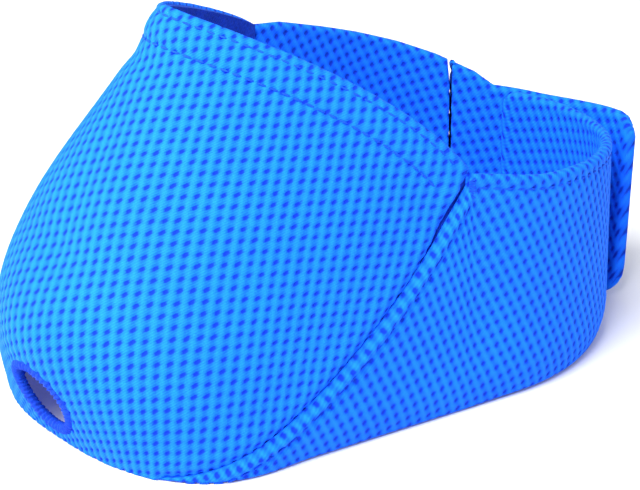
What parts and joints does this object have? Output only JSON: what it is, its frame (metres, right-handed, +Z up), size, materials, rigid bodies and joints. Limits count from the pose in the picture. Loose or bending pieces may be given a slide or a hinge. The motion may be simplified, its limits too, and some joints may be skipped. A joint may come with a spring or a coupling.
{
  "type": "soft mesh cat muzzle",
  "caption": "Domed mesh face cup with a nose hole and two neck straps that overlap and close with hook and loop.",
  "frame": {"origin": "middle of the footprint, on the surface that the lower rim stands on", "axes": "+X from the nose to the back of the neck, +Y to the animal's left side, +Z up"},
  "size_m": [0.1558, 0.0862, 0.092],
  "materials": {
    "mesh_cloth": "bright blue knitted polyester mesh, matt with a soft sheen",
    "binding_cloth": "blue knitted binding, slightly fuzzy",
    "hook_tape": "blue woven nylon tape with hooks",
    "loop_pile": "blue brushed loop pile",
    "sewing_thread": "blue polyester sewing thread"
  },
  "bodies": {
    "cup": {"face_panel": "mesh_cloth", "right_cheek_gusset": "mesh_cloth", "left_cheek_gusset": "mesh_cloth", "nose_hole_binding": "binding_cloth", "brim_facing": "mesh_cloth", "right_seam_tape": "binding_cloth", "left_seam_tape": "binding_cloth", "right_bar_tack": "sewing_thread", "left_bar_tack": "sewing_thread", "brim_edge_thread": "sewing_thread", "brim_hem_thread": "sewing_thread", "right_seam_thread": "sewing_thread", "left_seam_thread": "sewing_thread"},
    "right_strap": {"right_strap": "mesh_cloth", "loop_tape": "loop_pile", "right_strap_thread": "sewing_thread"},
    "left_strap": {"left_strap": "mesh_cloth", "left_strap_thread": "sewing_thread"},
    "closure_tab": {"closure_tab": "mesh_cloth", "hook_tape": "hook_tape", "closure_tab_thread": "sewing_thread"}
  },
  "joints": [
    {"name": "left_strap_swing", "type": "hinge", "parent": "cup", "child": "left_strap", "pos_m": [0.0118, 0.0422, 0], "axis": [0, 0, 1], "range_deg": [0, 60]},
    {"name": "closure_tab_peel", "type": "hinge", "parent": "left_strap", "child": "closure_tab", "pos_m": [0.06693, 0.02846, 0], "axis": [0, 0, 1], "range_deg": [0, 110]},
    {"name": "right_strap_swing", "type": "hinge", "parent": "cup", "child": "right_strap", "pos_m": [0.0118, -0.0425, 0], "axis": [0, 0, -1], "range_deg": [0, 31]}
  ],
  "couplings": [
    {"joint": "right_strap_swing", "follows": "left_strap_swing", "ratio": 0.5}
  ]
}
